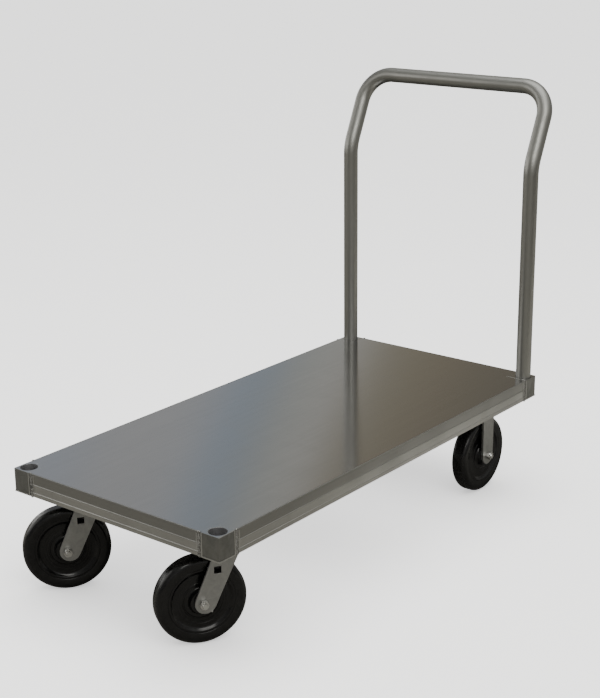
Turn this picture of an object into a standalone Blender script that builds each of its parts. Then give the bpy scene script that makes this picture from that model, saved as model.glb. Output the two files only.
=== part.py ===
"""Platform cart: a welded aluminium deck on four casters, with a bent tube push handle.

Metres, +Z up, floor at Z = 0. +Y points to the handle end and +X to the cart's right.
The origin is on the floor, under the middle of the cart's whole length, handle included.
The handle's two uprights plug into round pockets in the rear corner posts.
The front casters swivel and the rear casters are rigid.
"""

import math

import bmesh
import bpy
from mathutils import Matrix, Vector

# Deck and frame
DECK_LENGTH = 1.270
DECK_WIDTH = 0.617
FRAME_DEPTH = 0.056  # top of the deck to the underside of the rails
SHEET = 0.0032  # deck sheet
GAP = 0.0003  # between pieces that touch

# Rail extrusion, measured inwards from the outermost face and down from the deck's top
RAIL_WALL = 0.0035
RAIL_FLANGE = 0.045
RAIL_LIP = 0.003  # edge of the rail that shows round the deck sheet
RAIL_FACE_SET_BACK = 0.0012
RIB_DEPTHS = (0.0265, 0.0463)
RIB_HALF_HEIGHT = 0.0014
RIB_SEGMENTS = 4

# Corner posts and their pockets
POST_WALL = 0.0041  # thinnest wall, between the pocket and the two outer faces
POST_EDGE_RADIUS = 0.0015
POCKET_CLEARANCE = 0.0006
POCKET_OFF_CENTRE = 0.0012  # the pocket's axis lies this far towards the deck's corner
CAP_THICKNESS = 0.0032  # plate welded under a post, which closes its pocket
CAP_OVERHANG = 0.0006

# Push handle
TUBE_DIAMETER = 0.039
TUBE_WALL = 0.003
BAR_HEIGHT = 0.7495  # crossbar's axis above the deck
KINK_HEIGHT = 0.560  # where the uprights turn back, above the deck
HANDLE_LEAN = 0.086  # crossbar's axis behind the uprights
KINK_RADIUS = 0.110
CORNER_RADIUS = 0.078

# Crossmembers under the deck, which close the frame between the side rails
CHANNEL_WIDTH = 0.110
CHANNEL_WALL = 0.004

# Casters: places are measured from the deck's outer edges to the caster's mounting axis
CASTER_SIDE_INSET = 0.1025
SWIVEL_END_INSET = 0.1328
RIGID_END_INSET = 0.115
SWIVEL_OFFSET = 0.060  # swivel axis to axle
LEFT_TRAIL_ANGLE = 231.0  # degrees from +X, the way each swivel wheel trails at rest
RIGHT_TRAIL_ANGLE = 237.5
PAD_THICKNESS = 0.011
PAD_LENGTH = 0.134
PAD_EDGE_INSET = 0.030
PAD_HOLE_RADIUS = 0.018
PLATE_LENGTH = 0.1143
PLATE_WIDTH = 0.1016
PLATE_THICKNESS = 0.00635
PLATE_CORNER_RADIUS = 0.008
BOLT_SPACING_X = 0.0667
BOLT_SPACING_Y = 0.0921
BOLT_RADIUS = 0.00476
BOLT_HEAD_HEIGHT = 0.006
BOLT_CLEARANCE = 0.0006

# Wheels
WHEEL_RADIUS = 0.1016
WHEEL_HALF_WIDTH = 0.02225
WHEEL_CLEARANCE = 0.00675  # wheel's top to the underside of the swivel crown
SHOULDER_RADIUS = 0.014
SHOULDER_SEGMENTS = 3
RIM_DEPTH = 0.0306  # tread to the rim's inner edge
RIM_SLOPE = 0.007  # from the rim's inner edge down to the web
RIM_SET_BACK = 0.00225  # rim face, inside the shoulder's face
WEB_HALF_WIDTH = 0.0135
HUB_WALL = 0.012
HUB_SLOPE = 0.005
HUB_HALF_WIDTH = 0.025
BEARING_WALL = 0.005
BUSHING_WALL = 0.00275
AXLE_RADIUS = 0.00635
AXLE_HEAD_HEIGHT = 0.008
AXLE_NUT_HEIGHT = 0.0105
AXLE_END = 0.003  # thread that stands out of the nut

# Forks
FORK_SHEET = 0.006
FORK_BEND_RADIUS = 0.009  # outer radius of the bends between crown and legs
HUB_CLEARANCE = 0.001  # on each side, between hub and leg
SWIVEL_LEG_FRONT = -0.0245  # leg's two edges at the crown, from the swivel axis
SWIVEL_LEG_BACK = 0.0335
LEG_END_RADIUS = 0.024
LEG_END_AHEAD = 0.005  # the swivel leg's round end lies this far ahead of the axle
RIGID_LEG_HALF_WIDTH = 0.0255
SQUARE_HOLE = 0.016
SQUARE_HOLE_TRAIL = 0.027
SQUARE_HOLE_ABOVE_AXLE = 0.0745

# Swivel bearing and kingpin
RACE_STACK = 0.0190  # underside of the plate to the fork's crown
RACE_INNER_RADIUS = 0.018
UPPER_RACE_RADIUS = 0.036
LOWER_RACE_RADIUS = 0.038
UPPER_RACE_HEIGHT = 0.0118
RACE_GAP = 0.0006
KINGPIN_RADIUS = 0.008
KINGPIN_HEAD_RADIUS = 0.013
KINGPIN_HEAD_HEIGHT = 0.007
KINGPIN_NUT_HEIGHT = 0.012
KINGPIN_END = 0.0015
PIN_CLEARANCE = 0.0005

# Hexagons are this many shank radii across their flats
HEX_RATIO = 3.0

# Facets
WHEEL_STEPS = 32
RING_STEPS = 24
SHAFT_STEPS = 16
TUBE_BEVEL = 6  # gives the tube 16 sides
BEND_STEP = math.radians(9)

# Sizes, heights and places that follow from the sizes above
POCKET_RADIUS = TUBE_DIAMETER / 2 + POCKET_CLEARANCE
POST_SIDE = 2 * (POCKET_RADIUS + POCKET_OFF_CENTRE + POST_WALL)
POCKET_INSET = POST_SIDE / 2 - POCKET_OFF_CENTRE
CASTER_HEIGHT = 2 * WHEEL_RADIUS + WHEEL_CLEARANCE + FORK_SHEET + RACE_STACK + PLATE_THICKNESS
FRAME_BOTTOM = CASTER_HEIGHT + PAD_THICKNESS + 2 * GAP
DECK_TOP = FRAME_BOTTOM + FRAME_DEPTH
DECK_CENTRE_Y = -(HANDLE_LEAN + TUBE_DIAMETER / 2 - POCKET_INSET) / 2
AXLE_HEIGHT = WHEEL_RADIUS
BUSHING_RADIUS = AXLE_RADIUS + GAP + BUSHING_WALL
BORE_RADIUS = BUSHING_RADIUS + BEARING_WALL + 2 * GAP
HUB_RADIUS = BORE_RADIUS + HUB_WALL
RIM_INNER_RADIUS = WHEEL_RADIUS - RIM_DEPTH
LEG_INNER = HUB_HALF_WIDTH + HUB_CLEARANCE
LEG_OUTER = LEG_INNER + FORK_SHEET
PLATE_BOTTOM = CASTER_HEIGHT - PLATE_THICKNESS
SWIVEL_CROWN_TOP = PLATE_BOTTOM - RACE_STACK
RIGID_CROWN_TOP = PLATE_BOTTOM - GAP
OVER = 0.004  # how far a cutter runs past what it cuts


def new_material(name, colour, roughness, metallic):
    """A Principled material with one colour, roughness and metallic value."""
    material = bpy.data.materials.new(name)
    material.use_nodes = True
    shader = material.node_tree.nodes["Principled BSDF"]
    shader.inputs["Base Color"].default_value = (*colour, 1.0)
    shader.inputs["Roughness"].default_value = roughness
    shader.inputs["Metallic"].default_value = metallic
    return material


def new_object(name, mesh, material, parent=None, location=(0.0, 0.0, 0.0), turn=0.0):
    """An object on this mesh, turned about Z, under an optional parent."""
    shown = bpy.data.objects.new(name, mesh)
    bpy.context.scene.collection.objects.link(shown)
    if not mesh.materials:
        mesh.materials.append(material)
    shown.parent = parent
    shown.location = location
    shown.rotation_euler = (0.0, 0.0, turn)
    return shown


def new_axis(name, location, turn=0.0, parent=None):
    """An empty on a joint's axis, which the moving pieces hang from."""
    empty = bpy.data.objects.new(name, None)
    bpy.context.scene.collection.objects.link(empty)
    empty.empty_display_size = 0.05
    empty.parent = parent
    empty.location = location
    empty.rotation_euler = (0.0, 0.0, turn)
    return empty


def finish_mesh(bm, name, smooth=False):
    """The bmesh as a closed mesh whose faces point out."""
    bmesh.ops.remove_doubles(bm, verts=bm.verts, dist=1e-6)
    bmesh.ops.recalc_face_normals(bm, faces=bm.faces)
    mesh = bpy.data.meshes.new(name)
    bm.to_mesh(mesh)
    bm.free()
    if smooth:
        mesh.shade_smooth()
        mesh.set_sharp_from_angle(angle=math.radians(35))
    return mesh


def prism(outline, direction):
    """A bmesh of the flat outline, extruded along the direction."""
    bm = bmesh.new()
    face = bm.faces.new([bm.verts.new(point) for point in outline])
    extruded = bmesh.ops.extrude_face_region(bm, geom=[face])
    moved = [item for item in extruded["geom"] if isinstance(item, bmesh.types.BMVert)]
    bmesh.ops.translate(bm, verts=moved, vec=direction)
    return bm


def block(low, high):
    """A bmesh box between two corners."""
    outline = [
        (low[0], low[1], low[2]),
        (high[0], low[1], low[2]),
        (high[0], high[1], low[2]),
        (low[0], high[1], low[2]),
    ]
    return prism(outline, (0.0, 0.0, high[2] - low[2]))


def round_vertical_edges(bm, radius, segments=3):
    """Rounds the edges that run along Z."""
    upright = [
        edge
        for edge in bm.edges
        if (edge.verts[0].co - edge.verts[1].co).to_2d().length < 1e-6
    ]
    bmesh.ops.bevel(
        bm,
        geom=upright,
        offset=radius,
        segments=segments,
        profile=0.5,
        affect="EDGES",
        material=-1,
    )


def turned(profile, axis, steps):
    """A bmesh turned from a closed profile of (radius, along) points about Y or Z."""
    bm = bmesh.new()
    if axis == "Y":
        points = [(0.0, along, -radius) for radius, along in profile]
        line = Vector((0.0, 1.0, 0.0))
    else:
        points = [(radius, 0.0, along) for radius, along in profile]
        line = Vector((0.0, 0.0, 1.0))
    verts = [bm.verts.new(point) for point in points]
    edges = [bm.edges.new((verts[i - 1], verts[i])) for i in range(len(verts))]
    bmesh.ops.spin(
        bm,
        geom=verts + edges,
        cent=(0.0, 0.0, 0.0),
        axis=line,
        angle=math.tau,
        steps=steps,
        use_merge=True,
        use_duplicate=False,
    )
    return bm


def cylinder(radius, low, high, axis, steps, turn=0.0):
    """A bmesh cylinder or hexagon between two stations along Y or Z."""
    bm = bmesh.new()
    middle = (low + high) / 2
    if axis == "Y":
        stand = Matrix.Translation((0.0, middle, 0.0)) @ Matrix.Rotation(-math.pi / 2, 4, "X")
    else:
        stand = Matrix.Translation((0.0, 0.0, middle))
    bmesh.ops.create_cone(
        bm,
        cap_ends=True,
        segments=steps,
        radius1=radius,
        radius2=radius,
        depth=high - low,
        matrix=stand @ Matrix.Rotation(turn, 4, "Z"),
    )
    return bm


def ring(outer, inner, low, high, axis, steps):
    """A bmesh ring between two stations along Y or Z."""
    return turned([(inner, low), (outer, low), (outer, high), (inner, high)], axis, steps)


def hex_radius(shank_radius):
    """The corner radius of the hexagon that goes with a shank."""
    return HEX_RATIO * shank_radius / math.sqrt(3)


def cutter(name, bm, parent=None, location=(0.0, 0.0, 0.0), turn=0.0):
    """A hidden helper for a Boolean."""
    mesh = finish_mesh(bm, name)
    helper = new_object(name, mesh, METAL_ZINC, parent, location, turn)
    helper.hide_render = True
    helper.display_type = "WIRE"
    return helper


def combine(target, operation, helpers):
    """Boolean modifiers on the target, one for each helper."""
    for helper in helpers:
        modifier = target.modifiers.new(f"{operation.lower()} {helper.name}", "BOOLEAN")
        modifier.operation = operation
        modifier.solver = "EXACT"
        modifier.object = helper


def arc(centre, radius, start, end, segments):
    """Points of an arc about (a, b), both ends included."""
    points = []
    for i in range(segments + 1):
        angle = start + (end - start) * i / segments
        points.append((centre[0] + radius * math.cos(angle), centre[1] + radius * math.sin(angle)))
    return points


def rounded_path(corners, radii):
    """The corner points of a route, with each inner corner replaced by an arc."""
    points = [corners[0]]
    for before, corner, after, radius in zip(corners, corners[1:], corners[2:], radii):
        into = (corner - before).normalized()
        out = (after - corner).normalized()
        angle = into.angle(out)
        centre_line = (out - into).normalized()
        centre = corner + centre_line * radius / math.cos(angle / 2)
        axis = into.cross(out).normalized()
        start = corner - into * radius * math.tan(angle / 2)
        steps = max(3, round(angle / BEND_STEP))
        for i in range(steps + 1):
            turn = Matrix.Rotation(angle * i / steps, 3, axis)
            points.append(centre + turn @ (start - centre))
    points.append(corners[-1])
    return points


# The deck and its frame


def build_deck_sheet():
    """The flush deck sheet, notched round the four corner posts."""
    x = DECK_WIDTH / 2 - RAIL_LIP - GAP
    y = DECK_LENGTH / 2 - RAIL_LIP - GAP
    notch_x = DECK_WIDTH / 2 - POST_SIDE - GAP
    notch_y = DECK_LENGTH / 2 - POST_SIDE - GAP
    quarter = [(x, notch_y), (notch_x, notch_y), (notch_x, y)]
    outline = []
    for sign_x, sign_y in ((1, 1), (-1, 1), (-1, -1), (1, -1)):
        points = [(sign_x * px, sign_y * py, 0.0) for px, py in quarter]
        outline += points if sign_x * sign_y > 0 else points[::-1]
    bm = prism(outline, (0.0, 0.0, -SHEET))
    mesh = finish_mesh(bm, "deck_plate")
    new_object("deck_plate", mesh, METAL_DECK, location=(0.0, DECK_CENTRE_Y, DECK_TOP))


def rail_outline():
    """The rail's section as (inwards, up) points, with its top outer corner at zero."""
    face = RAIL_FACE_SET_BACK
    under_sheet = -SHEET - GAP
    outline = [
        (0.0, 0.0),
        (RAIL_LIP, 0.0),
        (RAIL_LIP, under_sheet),
        (RAIL_FLANGE, under_sheet),
        (RAIL_FLANGE, under_sheet - RAIL_WALL),
        (face + RAIL_WALL, under_sheet - RAIL_WALL),
        (face + RAIL_WALL, RAIL_WALL - FRAME_DEPTH),
        (RAIL_FLANGE, RAIL_WALL - FRAME_DEPTH),
        (RAIL_FLANGE, -FRAME_DEPTH),
        (face, -FRAME_DEPTH),
    ]
    for depth in reversed(RIB_DEPTHS):
        for i in range(RIB_SEGMENTS + 1):
            angle = math.pi * (i / RIB_SEGMENTS - 0.5)
            proud = RAIL_FACE_SET_BACK * math.cos(angle)
            outline.append((face - proud, -depth + RIB_HALF_HEIGHT * math.sin(angle)))
    outline += [(face, -2 * RAIL_LIP), (0.0, -RAIL_LIP)]
    return outline


def build_rail(name, length, location, turn):
    """One rail, its outer face towards its own -Y before it is turned."""
    outline = [(-length / 2, inwards, up) for inwards, up in rail_outline()]
    mesh = finish_mesh(prism(outline, (length, 0.0, 0.0)), name)
    new_object(name, mesh, METAL_RAIL, location=location, turn=turn)


def build_rails():
    """Four rails that run between the corner posts."""
    across = DECK_WIDTH - 2 * (POST_SIDE + GAP)
    along = DECK_LENGTH - 2 * (POST_SIDE + GAP)
    half_width = DECK_WIDTH / 2
    half_length = DECK_LENGTH / 2
    quarter = math.pi / 2
    build_rail("front_rail", across, (0.0, DECK_CENTRE_Y - half_length, DECK_TOP), 0.0)
    build_rail("right_rail", along, (half_width, DECK_CENTRE_Y, DECK_TOP), quarter)
    build_rail("rear_rail", across, (0.0, DECK_CENTRE_Y + half_length, DECK_TOP), 2 * quarter)
    build_rail("left_rail", along, (-half_width, DECK_CENTRE_Y, DECK_TOP), -quarter)


def build_post(corner_name, side, end):
    """A square corner post with a round pocket, and the cap that closes it underneath."""
    half = POST_SIDE / 2
    cap_top = CAP_THICKNESS - FRAME_DEPTH
    bm = block((-half, -half, cap_top + GAP), (half, half, 0.0))
    round_vertical_edges(bm, POST_EDGE_RADIUS)
    place = (
        side * (DECK_WIDTH / 2 - half),
        DECK_CENTRE_Y + end * (DECK_LENGTH / 2 - half),
        DECK_TOP,
    )
    name = corner_name + "_post"
    post = new_object(name, finish_mesh(bm, name, smooth=True), METAL_POST, location=place)
    pocket = cylinder(POCKET_RADIUS, cap_top - OVER, OVER, "Z", RING_STEPS)
    shift = half - POCKET_INSET
    tool = cutter(name + "_pocket", pocket, post, (side * shift, end * shift, 0.0))
    combine(post, "DIFFERENCE", [tool])
    low_x, high_x = sorted((-side * half, side * (half + CAP_OVERHANG)))
    low_y, high_y = sorted((-end * half, end * (half + CAP_OVERHANG)))
    cap = block((low_x, low_y, -FRAME_DEPTH), (high_x, high_y, cap_top))
    round_vertical_edges(cap, POST_EDGE_RADIUS)
    cap_mesh = finish_mesh(cap, corner_name + "_post_cap", smooth=True)
    new_object(corner_name + "_post_cap", cap_mesh, METAL_POST, location=place)


def build_posts():
    for end, end_name in ((-1, "front"), (1, "rear")):
        for side, side_name in ((-1, "left"), (1, "right")):
            build_post(f"{end_name}_{side_name}", side, end)


def build_crossmember(name, y):
    """An open channel across the frame, with its web down and its walls under the sheet."""
    half = CHANNEL_WIDTH / 2
    wall = CHANNEL_WALL
    top = DECK_TOP - SHEET - GAP
    end = DECK_WIDTH / 2 - RAIL_FLANGE - GAP
    section = [
        (-half, FRAME_BOTTOM),
        (half, FRAME_BOTTOM),
        (half, top),
        (half - wall, top),
        (half - wall, FRAME_BOTTOM + wall),
        (wall - half, FRAME_BOTTOM + wall),
        (wall - half, top),
        (-half, top),
    ]
    outline = [(-end, along, up) for along, up in section]
    mesh = finish_mesh(prism(outline, (2 * end, 0.0, 0.0)), name)
    new_object(name, mesh, METAL_CHANNEL, location=(0.0, y, 0.0))


def build_crossmembers():
    """Channels over the front casters, at the middle and over the rear casters."""
    build_crossmember("front_crossmember", caster_y(SWIVEL_END_INSET, -1))
    build_crossmember("middle_crossmember", DECK_CENTRE_Y)
    build_crossmember("rear_crossmember", caster_y(RIGID_END_INSET, 1))


def build_handle():
    """One bent tube: two uprights, a backwards lean and a crossbar with round corners."""
    x = DECK_WIDTH / 2 - POCKET_INSET
    y = DECK_CENTRE_Y + DECK_LENGTH / 2 - POCKET_INSET
    foot = FRAME_BOTTOM + CAP_THICKNESS + GAP
    kink = DECK_TOP + KINK_HEIGHT
    bar = DECK_TOP + BAR_HEIGHT
    corners = [
        Vector((-x, y, foot)),
        Vector((-x, y, kink)),
        Vector((-x, y + HANDLE_LEAN, bar)),
        Vector((x, y + HANDLE_LEAN, bar)),
        Vector((x, y, kink)),
        Vector((x, y, foot)),
    ]
    radii = (KINK_RADIUS, CORNER_RADIUS, CORNER_RADIUS, KINK_RADIUS)
    points = rounded_path(corners, radii)
    curve = bpy.data.curves.new("handle_route", "CURVE")
    curve.dimensions = "3D"
    curve.twist_mode = "MINIMUM"
    curve.bevel_depth = TUBE_DIAMETER / 2
    curve.bevel_resolution = TUBE_BEVEL
    spline = curve.splines.new("POLY")
    spline.points.add(len(points) - 1)
    for spline_point, point in zip(spline.points, points):
        spline_point.co = (point.x, point.y - y, point.z - foot, 1.0)
    route = bpy.data.objects.new("handle_route", curve)
    bpy.context.scene.collection.objects.link(route)
    skin = bpy.data.meshes.new_from_object(route)
    bpy.data.objects.remove(route)
    bm = bmesh.new()
    bm.from_mesh(skin)
    bmesh.ops.remove_doubles(bm, verts=bm.verts, dist=1e-6)
    bmesh.ops.recalc_face_normals(bm, faces=bm.faces)
    bm.to_mesh(skin)
    bm.free()
    skin.shade_smooth()
    axis = new_axis("handle_lift_axis", (0.0, y, foot))
    tube = new_object("handle_tube", skin, METAL_TUBE, axis)
    wall = tube.modifiers.new("wall", "SOLIDIFY")
    wall.thickness = TUBE_WALL
    wall.offset = -1.0
    wall.use_even_offset = True


# Casters


def caster_y(end_inset, end):
    """The Y of a caster's mounting axis at one end of the deck."""
    return DECK_CENTRE_Y + end * (DECK_LENGTH / 2 - end_inset)


def plate_bolts():
    """The four bolt places round a mounting axis."""
    return [
        (sign_x * BOLT_SPACING_X / 2, sign_y * BOLT_SPACING_Y / 2, 0.0)
        for sign_x in (-1, 1)
        for sign_y in (-1, 1)
    ]


def build_pad(name, place):
    """The pad welded under the frame, one body with the four bolts that hold the plate."""
    half_x = CASTER_SIDE_INSET - PAD_EDGE_INSET
    half_y = PAD_LENGTH / 2
    low = CASTER_HEIGHT + GAP
    bm = block((-half_x, -half_y, low), (half_x, half_y, low + PAD_THICKNESS))
    round_vertical_edges(bm, PLATE_CORNER_RADIUS)
    pad = new_object(name, finish_mesh(bm, name, smooth=True), METAL_CHANNEL, location=place)
    hole = cylinder(PAD_HOLE_RADIUS, low - OVER, low + PAD_THICKNESS + OVER, "Z", RING_STEPS)
    combine(pad, "DIFFERENCE", [cutter(name + "_hole", hole, pad)])
    head_top = PLATE_BOTTOM - GAP
    for i, spot in enumerate(plate_bolts(), 1):
        shank_low = head_top - BOLT_HEAD_HEIGHT / 2
        shank = cylinder(BOLT_RADIUS, shank_low, low + PAD_THICKNESS / 2, "Z", SHAFT_STEPS)
        head = cylinder(hex_radius(BOLT_RADIUS), head_top - BOLT_HEAD_HEIGHT, head_top, "Z", 6)
        tools = [
            cutter(f"{name}_shank_{i}", shank, pad, spot),
            cutter(f"{name}_head_{i}", head, pad, spot),
        ]
        combine(pad, "UNION", tools)


def build_plate(name, place, centre_hole):
    """A caster's mounting plate with four bolt holes and, on a swivel, a kingpin hole."""
    half_x = PLATE_WIDTH / 2
    half_y = PLATE_LENGTH / 2
    bm = block((-half_x, -half_y, PLATE_BOTTOM), (half_x, half_y, CASTER_HEIGHT))
    round_vertical_edges(bm, PLATE_CORNER_RADIUS)
    plate = new_object(name, finish_mesh(bm, name, smooth=True), METAL_ZINC, location=place)
    span = (PLATE_BOTTOM - OVER, CASTER_HEIGHT + OVER)
    tools = []
    for i, spot in enumerate(plate_bolts(), 1):
        hole = cylinder(BOLT_RADIUS + BOLT_CLEARANCE, *span, "Z", SHAFT_STEPS)
        tools.append(cutter(f"{name}_hole_{i}", hole, plate, spot))
    if centre_hole:
        hole = cylinder(KINGPIN_RADIUS + PIN_CLEARANCE, *span, "Z", SHAFT_STEPS)
        tools.append(cutter(f"{name}_kingpin_hole", hole, plate))
    combine(plate, "DIFFERENCE", tools)


def tangent_angle(corner, centre, radius, sign):
    """The angle about the centre at which a line from the corner touches the circle."""
    away = Vector(corner) - Vector(centre)
    return math.atan2(away.y, away.x) + sign * math.acos(radius / away.length)


def leg_outline(crown_top, front, back, end_centre):
    """A leg's side view as (trail, up) points: two edges from the crown and a round end."""
    high = crown_top + OVER
    start = tangent_angle((front, crown_top), end_centre, LEG_END_RADIUS, 1)
    end = tangent_angle((back, crown_top), end_centre, LEG_END_RADIUS, -1) + math.tau
    foot = arc(end_centre, LEG_END_RADIUS, start, end, 10)
    return [(back, high), (front, high), (front, crown_top)] + foot + [(back, crown_top)]


def fork_section(crown_top):
    """The fork's front view as (across, up) points: a crown bent down into two legs."""
    low = AXLE_HEIGHT - LEG_END_RADIUS - OVER
    outer = FORK_BEND_RADIUS
    inner = FORK_BEND_RADIUS - FORK_SHEET
    bend_y = LEG_OUTER - outer
    bend_z = crown_top - outer
    quarter = math.pi / 2
    outside = arc((bend_y, bend_z), outer, 0.0, quarter, 3)
    outside += arc((-bend_y, bend_z), outer, quarter, 2 * quarter, 3)
    inside = arc((-bend_y, bend_z), inner, 2 * quarter, quarter, 3)
    inside += arc((bend_y, bend_z), inner, quarter, 0.0, 3)
    rise = [(LEG_OUTER, low)] + outside + [(-LEG_OUTER, low)]
    return rise + [(-LEG_INNER, low)] + inside + [(LEG_INNER, low)]


def build_fork(name, parent, crown_top, front, back, trail, swivels):
    """A fork bent from one sheet, in a frame whose X trails back from the mounting axis."""
    reach = 0.1
    section = [(-reach, across, up) for across, up in fork_section(crown_top)]
    fork_mesh = finish_mesh(prism(section, (2.5 * reach, 0.0, 0.0)), name, smooth=True)
    fork = new_object(name, fork_mesh, METAL_ZINC, parent)
    end_centre = (trail - (LEG_END_AHEAD if swivels else 0.0), AXLE_HEIGHT)
    wide = LEG_OUTER + OVER
    side_view = [(along, -wide, up) for along, up in leg_outline(crown_top, front, back, end_centre)]
    legs = cutter(name + "_side_view", prism(side_view, (0.0, 2 * wide, 0.0)), fork)
    combine(fork, "INTERSECT", [legs])
    axle_hole = cylinder(AXLE_RADIUS + GAP, -wide, wide, "Y", SHAFT_STEPS)
    tools = [cutter(name + "_axle_hole", axle_hole, fork, (trail, 0.0, AXLE_HEIGHT))]
    if swivels:
        half = SQUARE_HOLE / 2
        square = block((-half, -wide, -half), (half, wide, half))
        spot = (SQUARE_HOLE_TRAIL, 0.0, AXLE_HEIGHT + SQUARE_HOLE_ABOVE_AXLE)
        tools.append(cutter(name + "_square_hole", square, fork, spot))
        span = (crown_top - FORK_SHEET - OVER, crown_top + OVER)
        pin_hole = cylinder(KINGPIN_RADIUS + PIN_CLEARANCE, *span, "Z", SHAFT_STEPS)
        tools.append(cutter(name + "_kingpin_hole", pin_hole, fork))
    combine(fork, "DIFFERENCE", tools)


def build_axle(prefix, parent, trail):
    """The axle bolt, its nut on the outer side and the bushing that the legs clamp."""
    spot = (trail, 0.0, AXLE_HEIGHT)
    face = LEG_OUTER + GAP
    corner = hex_radius(AXLE_RADIUS)
    nut_end = face + AXLE_NUT_HEIGHT
    shank = cylinder(AXLE_RADIUS, -face - AXLE_HEAD_HEIGHT / 2, nut_end + AXLE_END, "Y", SHAFT_STEPS)
    bolt_mesh = finish_mesh(shank, prefix + "_axle_bolt", smooth=True)
    bolt = new_object(prefix + "_axle_bolt", bolt_mesh, METAL_BRIGHT, parent, spot)
    head = cylinder(corner, -face - AXLE_HEAD_HEIGHT, -face, "Y", 6)
    combine(bolt, "UNION", [cutter(prefix + "_axle_head", head, bolt)])
    nut_mesh = finish_mesh(cylinder(corner, face, nut_end, "Y", 6), prefix + "_axle_nut")
    nut = new_object(prefix + "_axle_nut", nut_mesh, METAL_BRIGHT, parent, spot)
    nut_bore = cylinder(AXLE_RADIUS + GAP, face - OVER, nut_end + OVER, "Y", SHAFT_STEPS)
    combine(nut, "DIFFERENCE", [cutter(prefix + "_nut_bore", nut_bore, nut)])
    end = LEG_INNER - GAP
    sleeve = ring(BUSHING_RADIUS, AXLE_RADIUS + GAP, -end, end, "Y", SHAFT_STEPS)
    bushing_mesh = finish_mesh(sleeve, prefix + "_bushing", smooth=True)
    new_object(prefix + "_bushing", bushing_mesh, METAL_BRIGHT, parent, spot)


def wheel_profile():
    """The wheel's section as (radius, across) points, dished between hub and rim."""
    shoulder_across = WHEEL_HALF_WIDTH - SHOULDER_RADIUS
    shoulder_radius = WHEEL_RADIUS - SHOULDER_RADIUS
    half = [
        (BORE_RADIUS, HUB_HALF_WIDTH),
        (HUB_RADIUS, HUB_HALF_WIDTH),
        (HUB_RADIUS + HUB_SLOPE, WEB_HALF_WIDTH),
        (RIM_INNER_RADIUS - RIM_SLOPE, WEB_HALF_WIDTH),
        (RIM_INNER_RADIUS, WHEEL_HALF_WIDTH - RIM_SET_BACK),
    ]
    centre = (shoulder_radius, shoulder_across)
    half += arc(centre, SHOULDER_RADIUS, math.pi / 2, 0.0, SHOULDER_SEGMENTS)
    return half + [(radius, -across) for radius, across in reversed(half)]


def build_wheel(prefix, parent):
    """The one-piece wheel and the roller bearing in its bore."""
    wheel_mesh = finish_mesh(turned(wheel_profile(), "Y", WHEEL_STEPS), prefix + "_wheel", smooth=True)
    new_object(prefix + "_wheel", wheel_mesh, WHEEL_BLACK, parent)
    end = HUB_HALF_WIDTH - GAP
    rollers = ring(BORE_RADIUS - GAP, BUSHING_RADIUS + GAP, -end, end, "Y", SHAFT_STEPS)
    bearing_mesh = finish_mesh(rollers, prefix + "_bearing", smooth=True)
    new_object(prefix + "_bearing", bearing_mesh, METAL_BRIGHT, parent)


def build_kingpin(prefix, place):
    """The kingpin, its nut under the crown and the upper race, which all stay with the plate."""
    nut_top = SWIVEL_CROWN_TOP - FORK_SHEET - PIN_CLEARANCE
    nut_low = nut_top - KINGPIN_NUT_HEIGHT
    head_low = CASTER_HEIGHT + GAP
    shank = cylinder(KINGPIN_RADIUS, nut_low - KINGPIN_END, head_low + GAP, "Z", SHAFT_STEPS)
    pin_mesh = finish_mesh(shank, prefix + "_kingpin", smooth=True)
    pin = new_object(prefix + "_kingpin", pin_mesh, METAL_BRIGHT, location=place)
    head = cylinder(KINGPIN_HEAD_RADIUS, head_low, head_low + KINGPIN_HEAD_HEIGHT, "Z", RING_STEPS)
    combine(pin, "UNION", [cutter(prefix + "_kingpin_head", head, pin)])
    nut_body = cylinder(hex_radius(KINGPIN_RADIUS), nut_low, nut_top, "Z", 6)
    nut_mesh = finish_mesh(nut_body, prefix + "_kingpin_nut")
    nut = new_object(prefix + "_kingpin_nut", nut_mesh, METAL_BRIGHT, location=place)
    bore = cylinder(KINGPIN_RADIUS + GAP, nut_low - OVER, nut_top + OVER, "Z", SHAFT_STEPS)
    combine(nut, "DIFFERENCE", [cutter(prefix + "_kingpin_nut_bore", bore, nut)])
    race_top = PLATE_BOTTOM - GAP
    race_low = race_top - UPPER_RACE_HEIGHT
    upper = ring(UPPER_RACE_RADIUS, RACE_INNER_RADIUS, race_low, race_top, "Z", RING_STEPS)
    race_mesh = finish_mesh(upper, prefix + "_upper_race", smooth=True)
    new_object(prefix + "_upper_race", race_mesh, METAL_ZINC, location=place)


def build_swivel_caster(prefix, side, trail_angle):
    """A swivel caster: the fork and its wheel turn about the kingpin."""
    place = (side * (DECK_WIDTH / 2 - CASTER_SIDE_INSET), caster_y(SWIVEL_END_INSET, -1), 0.0)
    build_pad(prefix + "_pad", place)
    build_plate(prefix + "_plate", place, centre_hole=True)
    build_kingpin(prefix, place)
    swivel = new_axis(prefix + "_swivel_axis", place, math.radians(trail_angle))
    race_top = PLATE_BOTTOM - GAP - UPPER_RACE_HEIGHT - RACE_GAP
    lower = ring(LOWER_RACE_RADIUS, RACE_INNER_RADIUS, SWIVEL_CROWN_TOP + GAP, race_top, "Z", RING_STEPS)
    race_mesh = finish_mesh(lower, prefix + "_lower_race", smooth=True)
    new_object(prefix + "_lower_race", race_mesh, METAL_ZINC, swivel)
    edges = (SWIVEL_LEG_FRONT, SWIVEL_LEG_BACK)
    build_fork(prefix + "_fork", swivel, SWIVEL_CROWN_TOP, *edges, SWIVEL_OFFSET, swivels=True)
    build_axle(prefix, swivel, SWIVEL_OFFSET)
    spot = (SWIVEL_OFFSET, 0.0, AXLE_HEIGHT)
    build_wheel(prefix, new_axis(prefix + "_wheel_axis", spot, parent=swivel))


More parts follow.
